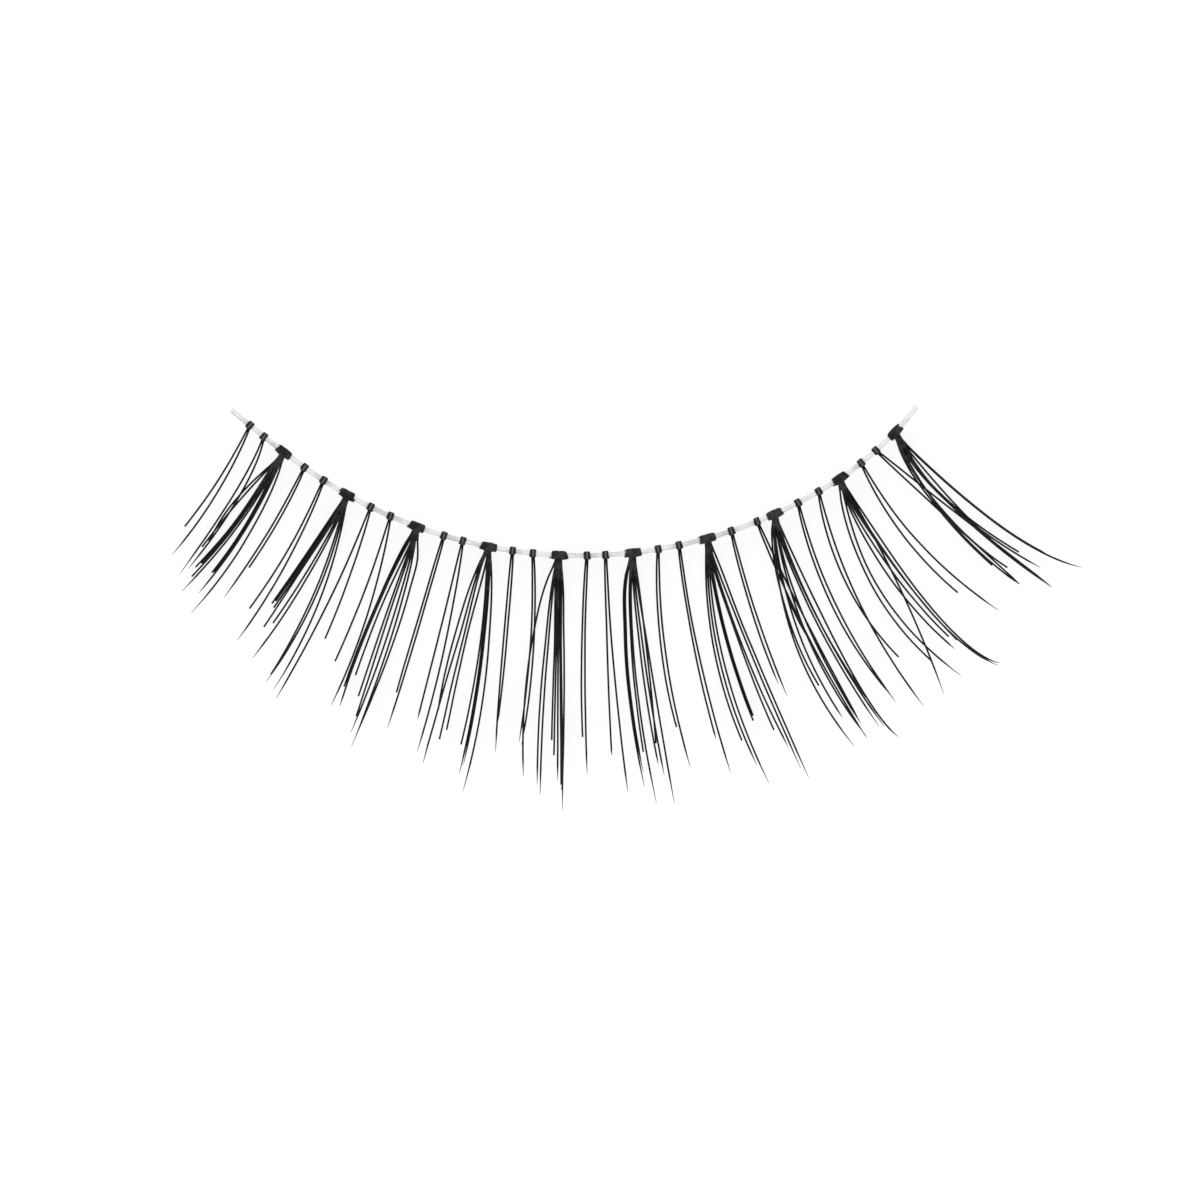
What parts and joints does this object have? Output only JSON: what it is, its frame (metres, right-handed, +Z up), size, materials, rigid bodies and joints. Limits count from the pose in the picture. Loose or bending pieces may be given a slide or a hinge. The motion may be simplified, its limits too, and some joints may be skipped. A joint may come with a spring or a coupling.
{
  "type": "false eyelash strip",
  "caption": "False eyelash strip: a clear curved thread that carries tied pairs and glued clusters of black hairs, which curl up and flare towards the outer corner of the eye.",
  "frame": {"origin": "on the surface that the strip lies on, under the middle of its outline in plan", "axes": "+X from the inner corner of the eye to the outer one, +Y from the hair tips to the eyelid, +Z up, the way the hairs curl"},
  "size_m": [0.0364, 0.0162, 0.0025],
  "materials": {
    "clear_thread": "smooth milky-clear nylon thread",
    "black_hair": "smooth black synthetic fibre with a soft sheen",
    "glued_hair": "black synthetic fibre, set in dark dried glue at the knot"
  },
  "bodies": {
    "root": {"band": "clear_thread", "pair_tuft_01": "black_hair", "pair_tuft_02": "black_hair", "cluster_tuft_01": "glued_hair", "pair_tuft_03": "black_hair", "pair_tuft_04": "black_hair", "cluster_tuft_02": "glued_hair", "pair_tuft_05": "black_hair", "pair_tuft_06": "black_hair", "cluster_tuft_03": "glued_hair", "pair_tuft_07": "black_hair", "pair_tuft_08": "black_hair", "cluster_tuft_04": "glued_hair", "pair_tuft_09": "black_hair", "pair_tuft_10": "black_hair", "cluster_tuft_05": "glued_hair", "pair_tuft_11": "black_hair", "pair_tuft_12": "black_hair", "cluster_tuft_06": "glued_hair", "pair_tuft_13": "black_hair", "pair_tuft_14": "black_hair", "cluster_tuft_07": "glued_hair", "pair_tuft_15": "black_hair", "pair_tuft_16": "black_hair", "cluster_tuft_08": "glued_hair", "pair_tuft_17": "black_hair", "pair_tuft_18": "black_hair", "cluster_tuft_09": "glued_hair", "pair_tuft_19": "black_hair", "pair_tuft_20": "black_hair", "cluster_tuft_10": "glued_hair"}
  },
  "joints": []
}
